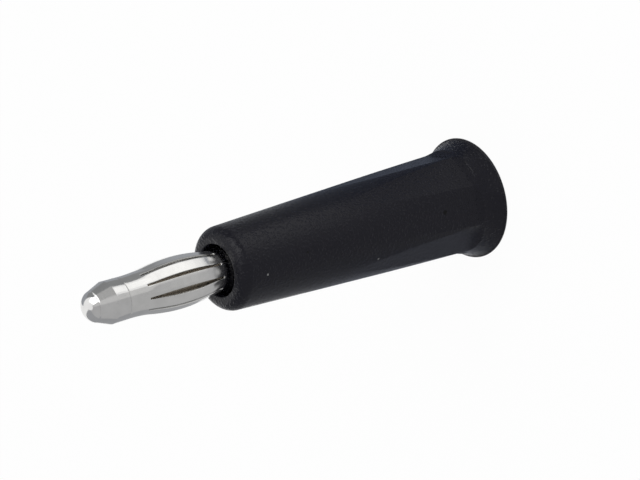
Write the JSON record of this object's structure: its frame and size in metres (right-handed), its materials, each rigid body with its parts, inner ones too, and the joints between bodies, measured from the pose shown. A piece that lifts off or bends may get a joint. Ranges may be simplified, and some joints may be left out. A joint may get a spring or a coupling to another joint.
{
  "type": "banana plug",
  "caption": "Cable-end banana plug: nickel-plated pin with a bulged lamella basket in a black tapered sleeve with a flared rear flange.",
  "frame": {"origin": "centre of the flange's rear face, which the plug stands on", "axes": "+Z along the pin towards its tip, +X towards the clamp screw's slotted end"},
  "size_m": [0.0102, 0.0102, 0.0406],
  "materials": {
    "sleeve_plastic": "black moulded plastic with a fine grain",
    "plated_brass": "nickel plate over fine turning marks",
    "plated_spring": "bright nickel plate",
    "plated_screw": "nickel plate"
  },
  "bodies": {
    "contact": {"contact_pin": "plated_brass"},
    "sleeve": {"insulating_sleeve": "sleeve_plastic"},
    "basket": {"lamella_basket": "plated_spring"},
    "screw": {"clamp_screw": "plated_screw"}
  },
  "joints": [
    {"name": "sleeve_slide", "type": "slide", "parent": "contact", "child": "sleeve", "axis": [0, 0, 1], "range_m": [0, 0.042]},
    {"name": "basket_turn", "type": "hinge", "parent": "contact", "child": "basket", "pos_m": [0, 0, 0.0315], "axis": [0, 0, 1], "continuous": true},
    {"name": "screw_advance", "type": "slide", "parent": "contact", "child": "screw", "axis": [-1, 0, 0], "range_m": [0, 0.0009]}
  ]
}
